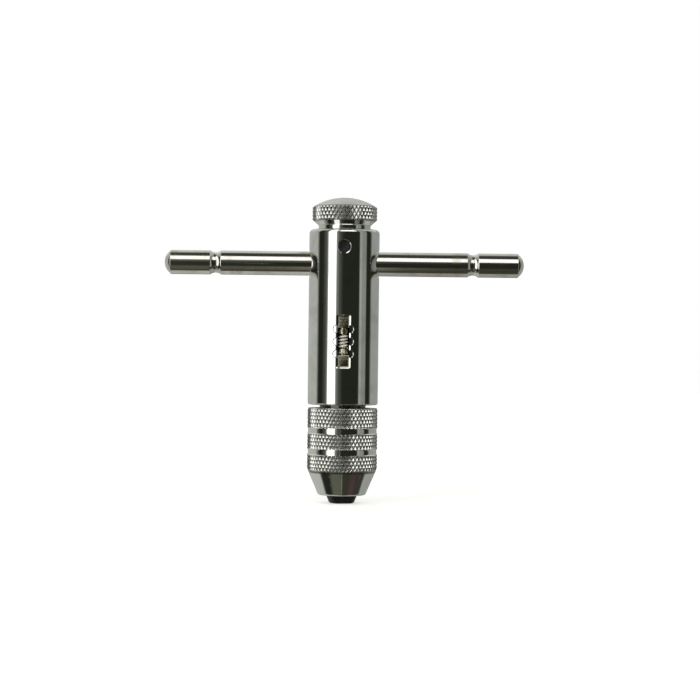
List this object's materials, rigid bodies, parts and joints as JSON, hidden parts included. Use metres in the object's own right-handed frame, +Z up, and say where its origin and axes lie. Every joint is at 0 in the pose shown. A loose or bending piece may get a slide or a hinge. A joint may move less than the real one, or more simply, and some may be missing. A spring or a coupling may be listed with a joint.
{
  "type": "tap wrench",
  "caption": "Upright ratchet tap wrench with a sliding T-bar, a domed selector knob, a pawl window in the barrel and a knurled chuck that closes on square shanks.",
  "frame": {"origin": "on the spindle's axis, level with the tips of the jaws, which is the middle of the underside of the object's box", "axes": "+Z up the spindle's axis to the selector knob, +X along the T-bar, and the pawl window faces -Y"},
  "size_m": [0.1, 0.0196, 0.085],
  "materials": {
    "barrel_chrome": "bright chrome plate over turned and knurled steel, satin on the knob's dome",
    "bar_nickel": "bright nickel plate, slightly warm",
    "turned_steel": "plain turned steel, oiled",
    "hard_steel": "hardened and tempered steel",
    "pawl_steel": "ground steel with an olive-bronze temper colour",
    "spring_wire": "drawn bright spring wire",
    "black_oxide": "black oxide on hardened steel"
  },
  "bodies": {
    "barrel": {"barrel": "barrel_chrome", "selector_pin": "black_oxide", "detent_ball": "hard_steel", "detent_spring": "spring_wire", "pawl_spring": "spring_wire"},
    "t_bar": {"t_bar": "bar_nickel"},
    "shift_washer": {"thrust_washer": "turned_steel"},
    "selector": {"knob": "barrel_chrome", "selector_stem": "turned_steel", "retaining_ring": "spring_wire"},
    "spindle": {"spindle": "turned_steel", "ratchet_crown_upper": "hard_steel", "ratchet_crown_lower": "hard_steel", "crown_pin_upper": "hard_steel", "crown_pin_lower": "hard_steel", "jaw_spring": "spring_wire"},
    "pawl_upper": {"pawl_upper": "pawl_steel"},
    "pawl_lower": {"pawl_lower": "pawl_steel"},
    "stop_ring": {"sleeve_stop_ring": "spring_wire"},
    "chuck_sleeve": {"chuck_sleeve": "barrel_chrome"},
    "jaw_right": {"jaw_right": "black_oxide"},
    "jaw_left": {"jaw_left": "black_oxide"}
  },
  "joints": [
    {"name": "t_bar_slide", "type": "slide", "parent": "barrel", "child": "t_bar", "axis": [1, 0, 0], "range_m": [-0.0358, 0.0358]},
    {"name": "gear_shift", "type": "slide", "parent": "barrel", "child": "shift_washer", "axis": [0, 0, 1], "range_m": [-0.0008, 0.0008], "deforming": ["detent_spring"]},
    {"name": "selector_turn", "type": "hinge", "parent": "shift_washer", "child": "selector", "pos_m": [0, 0, 0.0666], "axis": [0, 0, 1], "range_deg": [-25, 25]},
    {"name": "spindle_spin", "type": "hinge", "parent": "shift_washer", "child": "spindle", "pos_m": [0, 0, 0.045], "axis": [0, 0, 1], "continuous": true},
    {"name": "pawl_upper_slide", "type": "slide", "parent": "barrel", "child": "pawl_upper", "axis": [0, 0, -1], "range_m": [0, 0.0014], "stiffness_N_per_m": 1000, "springref_m": -0.001, "deforming": ["pawl_spring"]},
    {"name": "pawl_lower_slide", "type": "slide", "parent": "barrel", "child": "pawl_lower", "axis": [0, 0, 1], "range_m": [0, 0.0014], "stiffness_N_per_m": 1000, "springref_m": -0.001},
    {"name": "chuck_advance", "type": "slide", "parent": "spindle", "child": "stop_ring", "axis": [0, 0, 1], "range_m": [-0.00396, 0]},
    {"name": "chuck_turn", "type": "hinge", "parent": "stop_ring", "child": "chuck_sleeve", "pos_m": [0, 0, 0.014], "axis": [0, 0, 1], "range_deg": [-1426, 0]},
    {"name": "jaw_right_slide", "type": "slide", "parent": "spindle", "child": "jaw_right", "axis": [0.9703, 0.2419, 0], "range_m": [0, 0.0016]},
    {"name": "jaw_left_slide", "type": "slide", "parent": "spindle", "child": "jaw_left", "axis": [-0.9703, -0.2419, 0], "range_m": [0, 0.0016]}
  ],
  "couplings": [
    {"joint": "selector_turn", "follows": "gear_shift", "rad_per_m": 545.4},
    {"joint": "chuck_turn", "follows": "chuck_advance", "rad_per_m": 6283.2},
    {"joint": "jaw_right_slide", "follows": "chuck_advance", "ratio": -0.404},
    {"joint": "jaw_left_slide", "follows": "chuck_advance", "ratio": -0.404}
  ]
}
